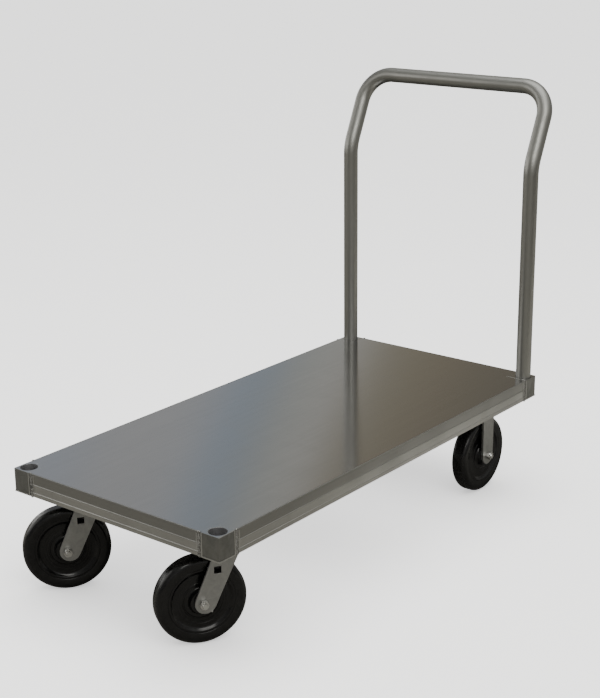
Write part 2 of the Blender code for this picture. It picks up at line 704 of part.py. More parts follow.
def build_rigid_caster(prefix, side):
    """A rigid caster, turned so that its axle nut is on the cart's outer side."""
    place = (side * (DECK_WIDTH / 2 - CASTER_SIDE_INSET), caster_y(RIGID_END_INSET, 1), 0.0)
    build_pad(prefix + "_pad", place)
    build_plate(prefix + "_plate", place, centre_hole=False)
    mounting = new_axis(prefix + "_mounting", place, -side * math.pi / 2)
    edges = (-RIGID_LEG_HALF_WIDTH, RIGID_LEG_HALF_WIDTH)
    build_fork(prefix + "_fork", mounting, RIGID_CROWN_TOP, *edges, 0.0, swivels=False)
    build_axle(prefix, mounting, 0.0)
    spot = (0.0, 0.0, AXLE_HEIGHT)
    build_wheel(prefix, new_axis(prefix + "_wheel_axis", spot, parent=mounting))


for leftover in list(bpy.data.objects):
    bpy.data.objects.remove(leftover)

METAL_DECK = new_material("deck sheet aluminium", (0.36, 0.36, 0.36), 0.30, 1.0)
METAL_RAIL = new_material("extruded aluminium", (0.34, 0.32, 0.29), 0.38, 1.0)
METAL_POST = new_material("corner post aluminium", (0.28, 0.27, 0.25), 0.42, 1.0)
METAL_TUBE = new_material("handle tube aluminium", (0.40, 0.39, 0.36), 0.32, 1.0)
METAL_CHANNEL = new_material("channel aluminium", (0.38, 0.38, 0.37), 0.45, 1.0)
METAL_ZINC = new_material("satin zinc steel", (0.30, 0.30, 0.28), 0.45, 0.8)
METAL_BRIGHT = new_material("bright zinc steel", (0.60, 0.59, 0.56), 0.25, 1.0)
WHEEL_BLACK = new_material("black moulded wheel", (0.012, 0.012, 0.013), 0.30, 0.0)

build_deck_sheet()
build_rails()
build_posts()
build_crossmembers()
build_handle()
build_swivel_caster("front_left", -1, LEFT_TRAIL_ANGLE)
build_swivel_caster("front_right", 1, RIGHT_TRAIL_ANGLE)
build_rigid_caster("rear_left", -1)
build_rigid_caster("rear_right", 1)
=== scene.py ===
import math
import random

import bmesh
import bpy
from mathutils import Matrix, Vector


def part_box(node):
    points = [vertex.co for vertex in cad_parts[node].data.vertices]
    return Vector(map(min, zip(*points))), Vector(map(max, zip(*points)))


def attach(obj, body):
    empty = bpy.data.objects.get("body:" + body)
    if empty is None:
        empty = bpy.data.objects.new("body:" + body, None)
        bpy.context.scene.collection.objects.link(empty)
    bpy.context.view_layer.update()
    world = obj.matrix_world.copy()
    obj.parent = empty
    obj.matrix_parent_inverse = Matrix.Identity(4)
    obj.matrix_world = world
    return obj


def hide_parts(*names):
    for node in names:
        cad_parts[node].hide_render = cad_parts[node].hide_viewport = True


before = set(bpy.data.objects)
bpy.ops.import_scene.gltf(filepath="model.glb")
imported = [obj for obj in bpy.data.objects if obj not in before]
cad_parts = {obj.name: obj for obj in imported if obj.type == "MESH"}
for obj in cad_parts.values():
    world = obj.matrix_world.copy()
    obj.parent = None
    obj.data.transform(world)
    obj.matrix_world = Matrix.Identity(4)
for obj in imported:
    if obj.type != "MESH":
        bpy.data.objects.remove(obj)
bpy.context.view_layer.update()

chance = random.Random(11)

CORNERS = ("front_left", "front_right", "rear_left", "rear_right")
OWN_AXES = Matrix.Identity(3)  # the lay of a piece that is modelled in its place
UP = Vector((0, 0, 1))

# Sizes in metres, the same as the frame's

GAP = 0.0003  # between pieces that touch
BROKEN_EDGE = 0.0006
POST_EDGE_RADIUS = 0.0015
POST_STEPS = 64
POCKET_CLEARANCE = 0.0006
POCKET_OFF_CENTRE = 0.0012  # towards the deck's corner
TUBE_DIAMETER = 0.039
TUBE_WALL = 0.003
KINK_ABOVE_DECK = 0.560
KINK_RADIUS = 0.110
CORNER_RADIUS = 0.078
BEND_STEP = math.radians(3)
TUBE_SIDES = 56

BEAD_WIDTH = 0.0084
BEAD_PROUD = 0.0018
BEAD_PITCH = 0.0038
BEAD_OFF_JOINT = 0.0050
CHANNEL_BEAD_WIDTH = 0.007
CHANNEL_BEAD_PITCH = 0.0042
COIN_WANDER = 0.07  # of the bead's width
COIN_SIZES = (0.82, 1.15)
COIN_TILTS = (0.25, 0.5)
COIN_LENGTH = 0.78  # of the pitch, to each side
SEAM_WIDTH = 0.0010
SEAM_PROUD = 0.00008

WHEEL_RADIUS = 0.1016
WHEEL_HALF_WIDTH = 0.02225
SHOULDER_RADIUS = 0.014
RIM_FACE = 0.020
WEB_HALF_WIDTH = 0.0135
HUB_RADIUS = 0.027
HUB_HALF_WIDTH = 0.025
BORE_RADIUS = 0.015
WHEEL_STEPS = 128

AXLE_RADIUS = 0.00635
LEG_OUTER = 0.032
THREAD_PITCH = 0.0014
HEX_STEPS = 48
HEX_CHAMFER = 0.0012
HEAD_HEIGHT = 0.008
NUT_HEIGHT = 0.0105
RACE_BORE = 0.018
RACE_STEPS = 72
FITTING_STEPS = 20

# Level directions, as (X, Y), seen from in front of the cart and to its right

TO_RIGHT = (0.78, 0.62)
TO_FRONT = (0.62, -0.78)
TO_BACK = (-0.62, 0.78)


# Node trees


def place_node(tree, kind, values=None, **settings):
    """Adds a node, with its settings and what each input holds or is fed by."""
    node = tree.nodes.new(kind)
    for name, setting in settings.items():
        setattr(node, name, setting)
    for name, value in (values or {}).items():
        socket = node.inputs[name]
        if isinstance(value, bpy.types.NodeSocket):
            tree.links.new(value, socket)
        else:
            socket.default_value = value
    return node


def calculate(tree, operation, first, second=0.0, third=0.0, clamp=False):
    """The output of a Math node."""
    values = {0: first, 1: second, 2: third}
    node = place_node(tree, "ShaderNodeMath", values, operation=operation, use_clamp=clamp)
    return node.outputs[0]


def product(tree, first, *others):
    """All the values multiplied."""
    for other in others:
        first = calculate(tree, "MULTIPLY", first, other)
    return first


def spread(tree, value, low, high, to_low=0.0, to_high=1.0, kind="LINEAR"):
    """The output of a Map Range node."""
    values = {0: value, 1: low, 2: high, 3: to_low, 4: to_high}
    node = place_node(tree, "ShaderNodeMapRange", values, interpolation_type=kind)
    return node.outputs["Result"]


def fade(tree, value, low, high, to_low=0.0, to_high=1.0):
    """A spread with soft ends."""
    return spread(tree, value, low, high, to_low, to_high, "SMOOTHSTEP")


def band(tree, value, start, full, waning, end):
    """One from full to waning, with a soft fade to nothing at start and end."""
    return product(tree, fade(tree, value, start, full), fade(tree, value, end, waning))


def reach(tree, split, direction):
    """How far a vector, split into its parts, reaches along a level direction."""
    part = calculate(tree, "MULTIPLY", split["X"], direction[0])
    return calculate(tree, "MULTIPLY_ADD", split["Y"], direction[1], part)


def tint(tree, share, first, second, blend="MIX"):
    """The colour output of a Mix node."""
    values = {0: share, 6: first, 7: second}
    node = place_node(tree, "ShaderNodeMix", values, data_type="RGBA", blend_type=blend)
    return node.outputs[2]


def stretched(tree, vector, scale):
    """A vector stretched by a Mapping node."""
    values = {"Vector": vector, "Scale": scale}
    return place_node(tree, "ShaderNodeMapping", values).outputs["Vector"]


def noise_value(tree, vector, scale, detail=2.0, roughness=0.5, distortion=0.0):
    """The plain output of a Noise Texture."""
    values = {
        "Vector": vector,
        "Scale": scale,
        "Detail": detail,
        "Roughness": roughness,
        "Distortion": distortion,
    }
    return place_node(tree, "ShaderNodeTexNoise", values).outputs["Fac"]


def new_group(name, inputs, outputs):
    """An empty shader group with its sockets, and its input and output nodes."""
    tree = bpy.data.node_groups.new(name, "ShaderNodeTree")
    for label, kind, default in inputs:
        socket = tree.interface.new_socket(label, in_out="INPUT", socket_type=kind)
        if default is not None:
            socket.default_value = default
    for label, kind in outputs:
        tree.interface.new_socket(label, in_out="OUTPUT", socket_type=kind)
    taken = tree.nodes.new("NodeGroupInput")
    given = tree.nodes.new("NodeGroupOutput")
    return tree, taken, given


def build_grain_group():
    """Fine lines along the third axis of the lay, as brushing or a die leaves them."""
    inputs = [
        ("Lay", "NodeSocketVector", None),
        ("Lines", "NodeSocketFloat", 900.0),
        ("Length", "NodeSocketFloat", 14.0),
    ]
    outputs = [("Streak", "NodeSocketFloat"), ("Height", "NodeSocketFloat")]
    tree, taken, given = new_group("brushed grain", inputs, outputs)
    squeeze = place_node(
        tree,
        "ShaderNodeCombineXYZ",
        {"X": taken.outputs["Lines"], "Y": taken.outputs["Lines"], "Z": taken.outputs["Length"]},
    )
    drawn = place_node(
        tree,
        "ShaderNodeVectorMath",
        {0: taken.outputs["Lay"], 1: squeeze.outputs[0]},
        operation="MULTIPLY",
    )
    fine = noise_value(tree, drawn.outputs[0], 1.0, 2.0, 0.6)
    broad = noise_value(tree, stretched(tree, drawn.outputs[0], (0.09, 0.09, 0.35)), 1.0, 2.0, 0.5)
    mixed = calculate(tree, "MULTIPLY_ADD", broad, 0.5, calculate(tree, "MULTIPLY", fine, 0.5))
    tree.links.new(spread(tree, mixed, 0.32, 0.68), given.inputs["Streak"])
    tree.links.new(fine, given.inputs["Height"])
    return tree


def build_handling_group():
    """Soft smudges, and thin scratches in two directions."""
    inputs = [("Place", "NodeSocketVector", None), ("Size", "NodeSocketFloat", 7.0)]
    outputs = [("Smudge", "NodeSocketFloat"), ("Scratch", "NodeSocketFloat")]
    tree, taken, given = new_group("handling marks", inputs, outputs)
    place = taken.outputs["Place"]
    cloud = noise_value(tree, place, taken.outputs["Size"], 4.0, 0.6, 0.6)
    tree.links.new(fade(tree, cloud, 0.38, 0.66), given.inputs["Smudge"])
    scratches = []
    for turn, scale in ((0.5, (330.0, 5.0, 330.0)), (-0.8, (420.0, 8.0, 420.0))):
        values = {"Vector": place, "Rotation": (0.0, 0.2, turn)}
        turned = place_node(tree, "ShaderNodeMapping", values)
        lines = noise_value(tree, stretched(tree, turned.outputs[0], scale), 1.0, 1.0, 0.4)
        scratches.append(spread(tree, lines, 0.70, 0.76))
    both = calculate(tree, "MAXIMUM", scratches[0], scratches[1])
    patches = spread(tree, noise_value(tree, place, 9.0), 0.5, 0.62)
    tree.links.new(calculate(tree, "MULTIPLY", both, patches), given.inputs["Scratch"])
    return tree


def build_edge_group():
    """Where an edge is rubbed bright, broken up by a fine noise."""
    inputs = [("Place", "NodeSocketVector", None), ("Width", "NodeSocketFloat", 0.0012)]
    outputs = [("Edge", "NodeSocketFloat")]
    tree, taken, given = new_group("worn edges", inputs, outputs)
    rounded = place_node(tree, "ShaderNodeBevel", {"Radius": taken.outputs["Width"]}, samples=4)
    own = place_node(tree, "ShaderNodeNewGeometry")
    facing = place_node(
        tree,
        "ShaderNodeVectorMath",
        {0: rounded.outputs["Normal"], 1: own.outputs["Normal"]},
        operation="DOT_PRODUCT",
    )
    bend = spread(tree, facing.outputs["Value"], 0.995, 0.90)
    speckle = noise_value(tree, taken.outputs["Place"], 180.0, 3.0)
    broken = spread(tree, speckle, 0.3, 0.6, 0.35, 1.0)
    tree.links.new(calculate(tree, "MULTIPLY", bend, broken), given.inputs["Edge"])
    return tree


def build_mottle_group():
    """Blotches and pits, as cast, coated and moulded surfaces have."""
    inputs = [
        ("Place", "NodeSocketVector", None),
        ("Blotches", "NodeSocketFloat", 60.0),
        ("Pits", "NodeSocketFloat", 700.0),
    ]
    outputs = [("Blotch", "NodeSocketFloat"), ("Pit", "NodeSocketFloat")]
    tree, taken, given = new_group("mottle", inputs, outputs)
    place = taken.outputs["Place"]
    blotch = noise_value(tree, place, taken.outputs["Blotches"], 4.0, 0.65, 0.4)
    tree.links.new(spread(tree, blotch, 0.34, 0.66), given.inputs["Blotch"])
    pits = noise_value(tree, place, taken.outputs["Pits"], 2.0, 0.5)
    tree.links.new(spread(tree, pits, 0.35, 0.7), given.inputs["Pit"])
    return tree


GRAIN = build_grain_group()
HANDLING = build_handling_group()
EDGE = build_edge_group()
MOTTLE = build_mottle_group()


def group_outputs(tree, group, **values):
    """The outputs of a group placed in a material with its own values."""
    return place_node(tree, "ShaderNodeGroup", values, node_tree=group).outputs


def new_finish(name, roughness, metallic, **constants):
    """A material with its Principled BSDF, and the piece's lay and place vectors."""
    material = bpy.data.materials.new(name)
    material.use_nodes = True
    tree = material.node_tree
    shader = tree.nodes["Principled BSDF"]
    shader.inputs["Roughness"].default_value = roughness
    shader.inputs["Metallic"].default_value = metallic
    for socket, value in constants.items():
        shader.inputs[socket.replace("_", " ")].default_value = value
    place = place_node(tree, "ShaderNodeTexCoord").outputs["Object"]
    return material, tree, shader, place


def lay_of(tree, place, axis=None):
    """The lay of a piece: its attribute, or its place with the axis turned to be the third."""
    if axis is None:
        return place_node(tree, "ShaderNodeAttribute", attribute_name="lay").outputs["Vector"]
    split = place_node(tree, "ShaderNodeSeparateXYZ", {0: place}).outputs
    order = {"X": (1, 2, 0), "Y": (2, 0, 1), "Z": (0, 1, 2)}[axis]
    turned = {name: split[i] for name, i in zip("XYZ", order)}
    return place_node(tree, "ShaderNodeCombineXYZ", turned).outputs[0]


def bump(tree, height, strength, distance):
    """The normal output of a Bump node."""
    values = {"Height": height, "Strength": strength, "Distance": distance}
    return place_node(tree, "ShaderNodeBump", values).outputs["Normal"]


def metal_finish(
    name, dark, light, edge, rough, smooth, lines, length, depth,
    axis=None, worn=0.0012, marks=1.0, painted_shade_above=None,
):
    """Bare metal: grain along the lay, smudges, scratches, edges rubbed bright, and painted shade
    above a height where one is given.
    """
    material, tree, shader, place = new_finish(name, rough, 1.0)
    lay = lay_of(tree, place, axis)
    grain = group_outputs(tree, GRAIN, Lay=lay, Lines=lines, Length=length)
    handled = group_outputs(tree, HANDLING, Place=place)
    smudge, scratch = handled["Smudge"], handled["Scratch"]
    wear = group_outputs(tree, EDGE, Place=place, Width=worn)["Edge"] if worn else 0.0
    shade = [c * 0.62 for c in dark[:3]] + [1.0]
    base = tint(tree, grain["Streak"], dark, light)
    # Above the given height the colour is darkened: painted shade for the darker upper band of the
    # rails.
    if painted_shade_above is not None:
        height = place_node(tree, "ShaderNodeSeparateXYZ", {0: place}).outputs["Z"]
        painted_shade_band = spread(tree, height, painted_shade_above, painted_shade_above + 0.001, 0.0, 0.8)
        base = tint(tree, painted_shade_band, base, shade)
    base = tint(tree, product(tree, smudge, 0.22 * marks), base, shade)
    base = tint(tree, product(tree, scratch, 0.30 * marks), base, edge)
    base = tint(tree, wear, base, edge)
    tree.links.new(base, shader.inputs["Base Color"])
    gloss = calculate(tree, "MULTIPLY_ADD", grain["Streak"], smooth - rough, rough)
    gloss = calculate(tree, "MULTIPLY_ADD", smudge, 0.07 * marks, gloss)
    gloss = calculate(tree, "MULTIPLY_ADD", wear, -0.08, gloss, clamp=True)
    tree.links.new(gloss, shader.inputs["Roughness"])
    ridges = calculate(tree, "MULTIPLY_ADD", scratch, -0.6 * marks, grain["Height"])
    tree.links.new(bump(tree, ridges, depth, 0.0002), shader.inputs["Normal"])
    return material


def coated_finish(name, dark, light, edge, rough, metallic, blotches, pits, depth):
    """Cast or zinc-coated metal: blotches, fine pits and edges rubbed bright."""
    material, tree, shader, place = new_finish(name, rough, metallic)
    coat = group_outputs(tree, MOTTLE, Place=place, Blotches=blotches, Pits=pits)
    wear = group_outputs(tree, EDGE, Place=place, Width=0.0010)["Edge"]
    marks = group_outputs(tree, HANDLING, Place=place, Size=16.0)
    base = tint(tree, coat["Blotch"], dark, light)
    base = tint(tree, product(tree, coat["Pit"], 0.35), base, dark)
    base = tint(tree, product(tree, marks["Scratch"], 0.4), base, edge)
    base = tint(tree, wear, base, edge)
    tree.links.new(base, shader.inputs["Base Color"])
    gloss = calculate(tree, "MULTIPLY_ADD", coat["Blotch"], -0.10, rough + 0.05)
    gloss = calculate(tree, "MULTIPLY_ADD", marks["Smudge"], 0.10, gloss)
    gloss = calculate(tree, "MULTIPLY_ADD", wear, -0.10, gloss, clamp=True)
    tree.links.new(gloss, shader.inputs["Roughness"])
    tree.links.new(bump(tree, coat["Pit"], depth, 0.0004), shader.inputs["Normal"])
    return material


def wheel_finish():
    """Black moulded resin: flecked gloss, faint rings from the mould and a scuffed tread."""
    material, tree, shader, place = new_finish(
        "black moulded resin", 0.20, 0.0, Specular_IOR_Level=0.4
    )
    lay = lay_of(tree, place)
    from_axle = place_node(tree, "ShaderNodeSeparateXYZ", {0: lay}).outputs["X"]
    fibres = group_outputs(tree, MOTTLE, Place=place, Blotches=75.0, Pits=380.0)
    rings = noise_value(tree, stretched(tree, lay, (700.0, 500.0, 0.0)), 1.0, 2.0)
    tread = fade(tree, from_axle, WHEEL_RADIUS - 0.006, WHEEL_RADIUS - 0.001)
    scuffs = noise_value(tree, place, 130.0, 4.0, 0.7)
    scuffed = product(tree, tread, spread(tree, scuffs, 0.35, 0.65))
    flecks = spread(tree, fibres["Pit"], 0.75, 1.0)
    base = tint(tree, fibres["Blotch"], (0.0018, 0.0018, 0.0020, 1), (0.0050, 0.0050, 0.0050, 1))
    base = tint(tree, product(tree, flecks, 0.35), base, (0.022, 0.021, 0.020, 1))
    base = tint(tree, product(tree, scuffed, 0.6), base, (0.016, 0.0155, 0.015, 1))
    tree.links.new(base, shader.inputs["Base Color"])
    gloss = calculate(tree, "MULTIPLY_ADD", fibres["Blotch"], 0.10, 0.13)
    gloss = calculate(tree, "MULTIPLY_ADD", scuffed, 0.16, gloss, clamp=True)
    tree.links.new(gloss, shader.inputs["Roughness"])
    height = calculate(tree, "MULTIPLY_ADD", rings, 1.2, product(tree, fibres["Pit"], 0.25))
    height = calculate(tree, "MULTIPLY_ADD", scuffed, 0.5, height)
    tree.links.new(bump(tree, height, 0.16, 0.0005), shader.inputs["Normal"])
    return material


def bead_finish():
    """Weld metal: dark oxide in the hollows and bright ripples."""
    material, tree, shader, place = new_finish("weld metal", 0.42, 1.0)
    lumps = group_outputs(tree, MOTTLE, Place=place, Blotches=330.0, Pits=1500.0)
    base = tint(tree, lumps["Blotch"], (0.12, 0.118, 0.110, 1), (0.43, 0.425, 0.405, 1))
    tree.links.new(base, shader.inputs["Base Color"])
    gloss = calculate(tree, "MULTIPLY_ADD", lumps["Blotch"], -0.20, 0.55)
    tree.links.new(gloss, shader.inputs["Roughness"])
    tree.links.new(bump(tree, lumps["Blotch"], 0.6, 0.0006), shader.inputs["Normal"])
    return material


DECK = metal_finish(
    "deck sheet aluminium",
    (0.412, 0.412, 0.412, 1), (0.438, 0.438, 0.438, 1), (0.48, 0.48, 0.48, 1),
    0.13, 0.12, 900.0, 7.0, 0.02, axis="Y", worn=0.0, marks=0.2,
)
# The rails get painted shade on their band above 0.2826 m.
RAIL = metal_finish(
    "extruded aluminium",
    (0.385, 0.384, 0.368, 1), (0.455, 0.454, 0.435, 1), (0.49, 0.49, 0.47, 1),
    0.38, 0.30, 1100.0, 5.0, 0.14, worn=0.0005, painted_shade_above=0.2826,
)
TUBE = metal_finish(
    "handle tube aluminium",
    (0.295, 0.295, 0.276, 1), (0.325, 0.325, 0.305, 1), (0.39, 0.39, 0.37, 1),
    0.41, 0.35, 900.0, 6.0, 0.12,
)
CHANNEL = metal_finish(
    "channel aluminium",
    (0.34, 0.34, 0.33, 1), (0.42, 0.42, 0.41, 1), (0.55, 0.55, 0.53, 1),
    0.46, 0.36, 700.0, 6.0, 0.18,
)
GROUND = metal_finish(
    "ground aluminium",
    (0.42, 0.42, 0.405, 1), (0.52, 0.52, 0.50, 1), (0.60, 0.60, 0.58, 1),
    0.36, 0.28, 1500.0, 60.0, 0.2,
)
BORE = metal_finish(
    "bored aluminium",
    (0.36, 0.36, 0.37, 1), (0.56, 0.56, 0.57, 1), (0.60, 0.60, 0.60, 1),
    0.50, 0.40, 420.0, 12.0, 0.2, axis="Z", worn=0.0,
)
POST = coated_finish(
    "corner post aluminium",
    (0.180, 0.181, 0.171, 1), (0.235, 0.236, 0.224, 1), (0.34, 0.34, 0.32, 1),
    0.44, 1.0, 45.0, 900.0, 0.25,
)
ZINC = coated_finish(
    "satin zinc steel",
    (0.30, 0.301, 0.290, 1), (0.36, 0.361, 0.350, 1), (0.48, 0.48, 0.47, 1),
    0.40, 0.9, 70.0, 1100.0, 0.12,
)
BRIGHT = coated_finish(
    "bright zinc steel",
    (0.55, 0.55, 0.53, 1), (0.66, 0.66, 0.64, 1), (0.75, 0.75, 0.73, 1),
    0.24, 1.0, 140.0, 1600.0, 0.10,
)
# Near black: painted shade for the inside of the weld pore.
PAINTED_PORE_SHADE = coated_finish(
    "weld pore painted shade",
    (0.012, 0.011, 0.010, 1), (0.030, 0.028, 0.026, 1), (0.30, 0.30, 0.28, 1),
    0.60, 0.0, 300.0, 1500.0, 0.3,
)
WHEEL = wheel_finish()
BEAD = bead_finish()


# Pieces


def new_piece(name, shape, finish, body, stands_for=(), lay=None, sharp=32.0, more=()):
    """Turns a bmesh into a piece that has its finish and rides on its body."""
    for face in shape.faces:
        face.smooth = True
    mesh = bpy.data.meshes.new(name)
    shape.to_mesh(mesh)
    shape.free()
    mesh.set_sharp_from_angle(angle=math.radians(sharp))
    for material in (finish, *more):
        mesh.materials.append(material)
    if lay is not None:
        write_lay(mesh, lay)
    piece = bpy.data.objects.new(name, mesh)
    bpy.context.scene.collection.objects.link(piece)
    if stands_for:
        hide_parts(*stands_for)
    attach(piece, body)
    weighted = piece.modifiers.new("flat faces stay flat", "WEIGHTED_NORMAL")
    weighted.keep_sharp = True


def write_lay(mesh, lay):
    """Stores where each point lies on the unplaced piece, with the grain along the third axis."""
    if "lay" in mesh.attributes:
        return
    attribute = mesh.attributes.new("lay", "FLOAT_VECTOR", "POINT")
    for value, vertex in zip(attribute.data, mesh.vertices):
        value.vector = lay @ vertex.co


def merged_copy(node):
    """A copy of a CAD node with its loose corners joined and its flat faces made one."""
    shape = bmesh.new()
    shape.from_mesh(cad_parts[node].data)
    bmesh.ops.remove_doubles(shape, verts=shape.verts, dist=1e-5)
    bmesh.ops.dissolve_limit(
        shape, angle_limit=math.radians(0.4), verts=shape.verts, edges=shape.edges
    )
    return shape


def ease_edges(shape, width, over=32.0):
    """Rounds the edges that turn by more than an angle."""
    hard = [
        edge
        for edge in shape.edges
        if edge.is_manifold and edge.calc_face_angle(0.0) > math.radians(over)
    ]
    bmesh.ops.bevel(
        shape,
        geom=hard,
        offset=width,
        offset_type="OFFSET",
        segments=2,
        profile=0.5,
        affect="EDGES",
        material=-1,
        clamp_overlap=True,
    )


def middle(node):
    """The middle of a CAD node's box."""
    low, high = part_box(node)
    return (low + high) / 2


def eased_piece(node, finish, body, width, along="Z", over=32.0):
    """A CAD node's own shape with its edges eased, in its place."""
    shape = merged_copy(node)
    ease_edges(shape, width, over=over)
    turn = {
        "X": Matrix(((0, 1, 0), (0, 0, 1), (1, 0, 0))),
        "Y": Matrix(((0, 0, 1), (1, 0, 0), (0, 1, 0))),
        "Z": OWN_AXES,
    }[along]
    new_piece("eased_" + node, shape, finish, body, [node], turn)


def turned_piece(name, profile, steps, finish, body, placed, stands_for=()):
    """Spins a closed profile of (radius, along) points about Z, then puts it in its place."""
    shape = bmesh.new()
    corners = [shape.verts.new((radius, 0.0, along)) for radius, along in profile]
    edges = [
        shape.edges.new((corners[i], corners[(i + 1) % len(corners)])) for i in range(len(corners))
    ]
    bmesh.ops.spin(
        shape,
        geom=corners + edges,
        cent=(0.0, 0.0, 0.0),
        axis=(0.0, 0.0, 1.0),
        dvec=(0.0, 0.0, 0.0),
        angle=math.tau,
        steps=steps,
        use_merge=True,
    )
    bmesh.ops.remove_doubles(shape, verts=shape.verts, dist=1e-6)
    bmesh.ops.recalc_face_normals(shape, faces=shape.faces)
    layer = shape.verts.layers.float_vector.new("lay")
    for vert in shape.verts:
        vert[layer] = Vector((vert.co.xy.length, vert.co.z, 0.0))
    bmesh.ops.transform(shape, matrix=placed, verts=shape.verts)
    new_piece(name, shape, finish, body, stands_for, OWN_AXES, 40.0)


def arc(centre, radius, start, end, steps):
    """Points of (radius, along) on an arc."""
    points = []
    for i in range(steps + 1):
        angle = start + (end - start) * i / steps
        points.append((centre[0] + radius * math.cos(angle), centre[1] + radius * math.sin(angle)))
    return points


def new_ring(shape, radius, height, steps, spot=(0.0, 0.0)):
    """The vertices of a new level circle."""
    return bmesh.ops.create_circle(
        shape,
        cap_ends=False,
        radius=radius,
        segments=steps,
        matrix=Matrix.Translation((*spot, height)),
    )["verts"]


def ring_edges(shape, ring):
    """The edges between the vertices of a ring."""
    members = set(ring)
    return [e for e in shape.edges if e.verts[0] in members and e.verts[1] in members]


def bridge(shape, ring, after):
    """Closes the band between two rings."""
    bmesh.ops.bridge_loops(shape, edges=ring_edges(shape, ring) + ring_edges(shape, after))


def grow(shape, edges):
    """Extrudes edges on the spot, and gives the new vertices and the edges between them."""
    grown = bmesh.ops.extrude_edge_only(shape, edges=edges)["geom"]
    verts = [g for g in grown if isinstance(g, bmesh.types.BMVert)]
    return verts, ring_edges(shape, verts)


def facing(direction, point):
    """A matrix that turns +Z to a direction and moves it to a point."""
    return Matrix.Translation(point) @ direction.to_track_quat("Z", "Y").to_matrix().to_4x4()


# Deck and frame


def build_rails():
    """The four rails, with the sharp corners of the die just broken."""
    for name, along in (("front", "X"), ("rear", "X"), ("left", "Y"), ("right", "Y")):
        eased_piece(name + "_rail", RAIL, "platform", 0.00035, along)


def build_post(corner):
    """A corner post with a smooth bored pocket, a broken top edge and the deck's finish on top."""
    low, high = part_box(corner + "_post")
    centre = (low + high) / 2
    outwards = Vector((math.copysign(1, centre.x), math.copysign(1, centre.y), 0.0))
    pocket = centre + outwards * POCKET_OFF_CENTRE
    half = (high.x - low.x) / 2
    flat = half - POST_EDGE_RADIUS
    shape = bmesh.new()
    rim = new_ring(shape, 1.0, 0.0, POST_STEPS)
    for vert in rim:
        angle = math.atan2(vert.co.y, vert.co.x)
        reach_x = 1 / max(abs(math.cos(angle)), 1e-6)
        reach_y = 1 / max(abs(math.sin(angle)), 1e-6)
        spot = Vector((math.cos(angle), math.sin(angle))) * min(reach_x, reach_y) * half
        inner = Vector((max(-flat, min(flat, spot.x)), max(-flat, min(flat, spot.y))))
        away = spot - inner
        if away.length > 1e-7 and abs(away.x) > 1e-7 and abs(away.y) > 1e-7:
            spot = inner + away.normalized() * POST_EDGE_RADIUS
        vert.co = (centre.x + spot.x, centre.y + spot.y, high.z)
    mouth = new_ring(
        shape, TUBE_DIAMETER / 2 + POCKET_CLEARANCE, high.z, POST_STEPS, (pocket.x, pocket.y)
    )
    walls = (ring_edges(shape, rim), ring_edges(shape, mouth))
    top = bmesh.ops.bridge_loops(shape, edges=walls[0] + walls[1])["faces"]
    feet = []
    for edges in walls:
        verts, grown = grow(shape, edges)
        bmesh.ops.translate(shape, verts=verts, vec=(0.0, 0.0, low.z - high.z))
        feet += grown
    bmesh.ops.bridge_loops(shape, edges=feet)
    bmesh.ops.recalc_face_normals(shape, faces=shape.faces)
    deck_finish, bore_finish = 1, 2
    for face in top:
        face.material_index = deck_finish
    for face in shape.faces:
        away = (face.calc_center_median() - pocket).xy.length
        if away < TUBE_DIAMETER / 2 + 0.002 and abs(face.normal.z) < 0.5:
            face.material_index = bore_finish
    ease_edges(shape, BROKEN_EDGE, 60.0)
    new_piece(
        "bored_" + corner + "_post", shape, POST, "platform",
        [corner + "_post"], OWN_AXES, 40.0, more=(DECK, BORE),
    )
    eased_piece(corner + "_post_cap", GROUND, "platform", BROKEN_EDGE)


def path_frames(path):
    """A matrix at each point of a path, its Z along the path, without twist."""
    frames = []
    across = Vector((0.0, 1.0, 0.0))
    for i, point in enumerate(path):
        before = path[max(0, i - 1)]
        after = path[min(len(path) - 1, i + 1)]
        along = (after - before).normalized()
        across = (across - along * across.dot(along)).normalized()
        side = across.cross(along)
        turn = Matrix((side, across, along)).transposed()
        frames.append(Matrix.Translation(point) @ turn.to_4x4())
    return frames


def rounded_path(corners, radii, step):
    """The corner points of a route, with each inner corner replaced by an arc."""
    points = [corners[0]]
    for before, corner, after, radius in zip(corners, corners[1:], corners[2:], radii):
        into = (corner - before).normalized()
        out = (after - corner).normalized()
        angle = into.angle(out)
        centre = corner + (out - into).normalized() * radius / math.cos(angle / 2)
        axis = into.cross(out).normalized()
        start = corner - into * radius * math.tan(angle / 2)
        steps = max(3, round(angle / step))
        for i in range(steps + 1):
            turn = Matrix.Rotation(angle * i / steps, 3, axis)
            points.append(centre + turn @ (start - centre))
    points.append(corners[-1])
    return points


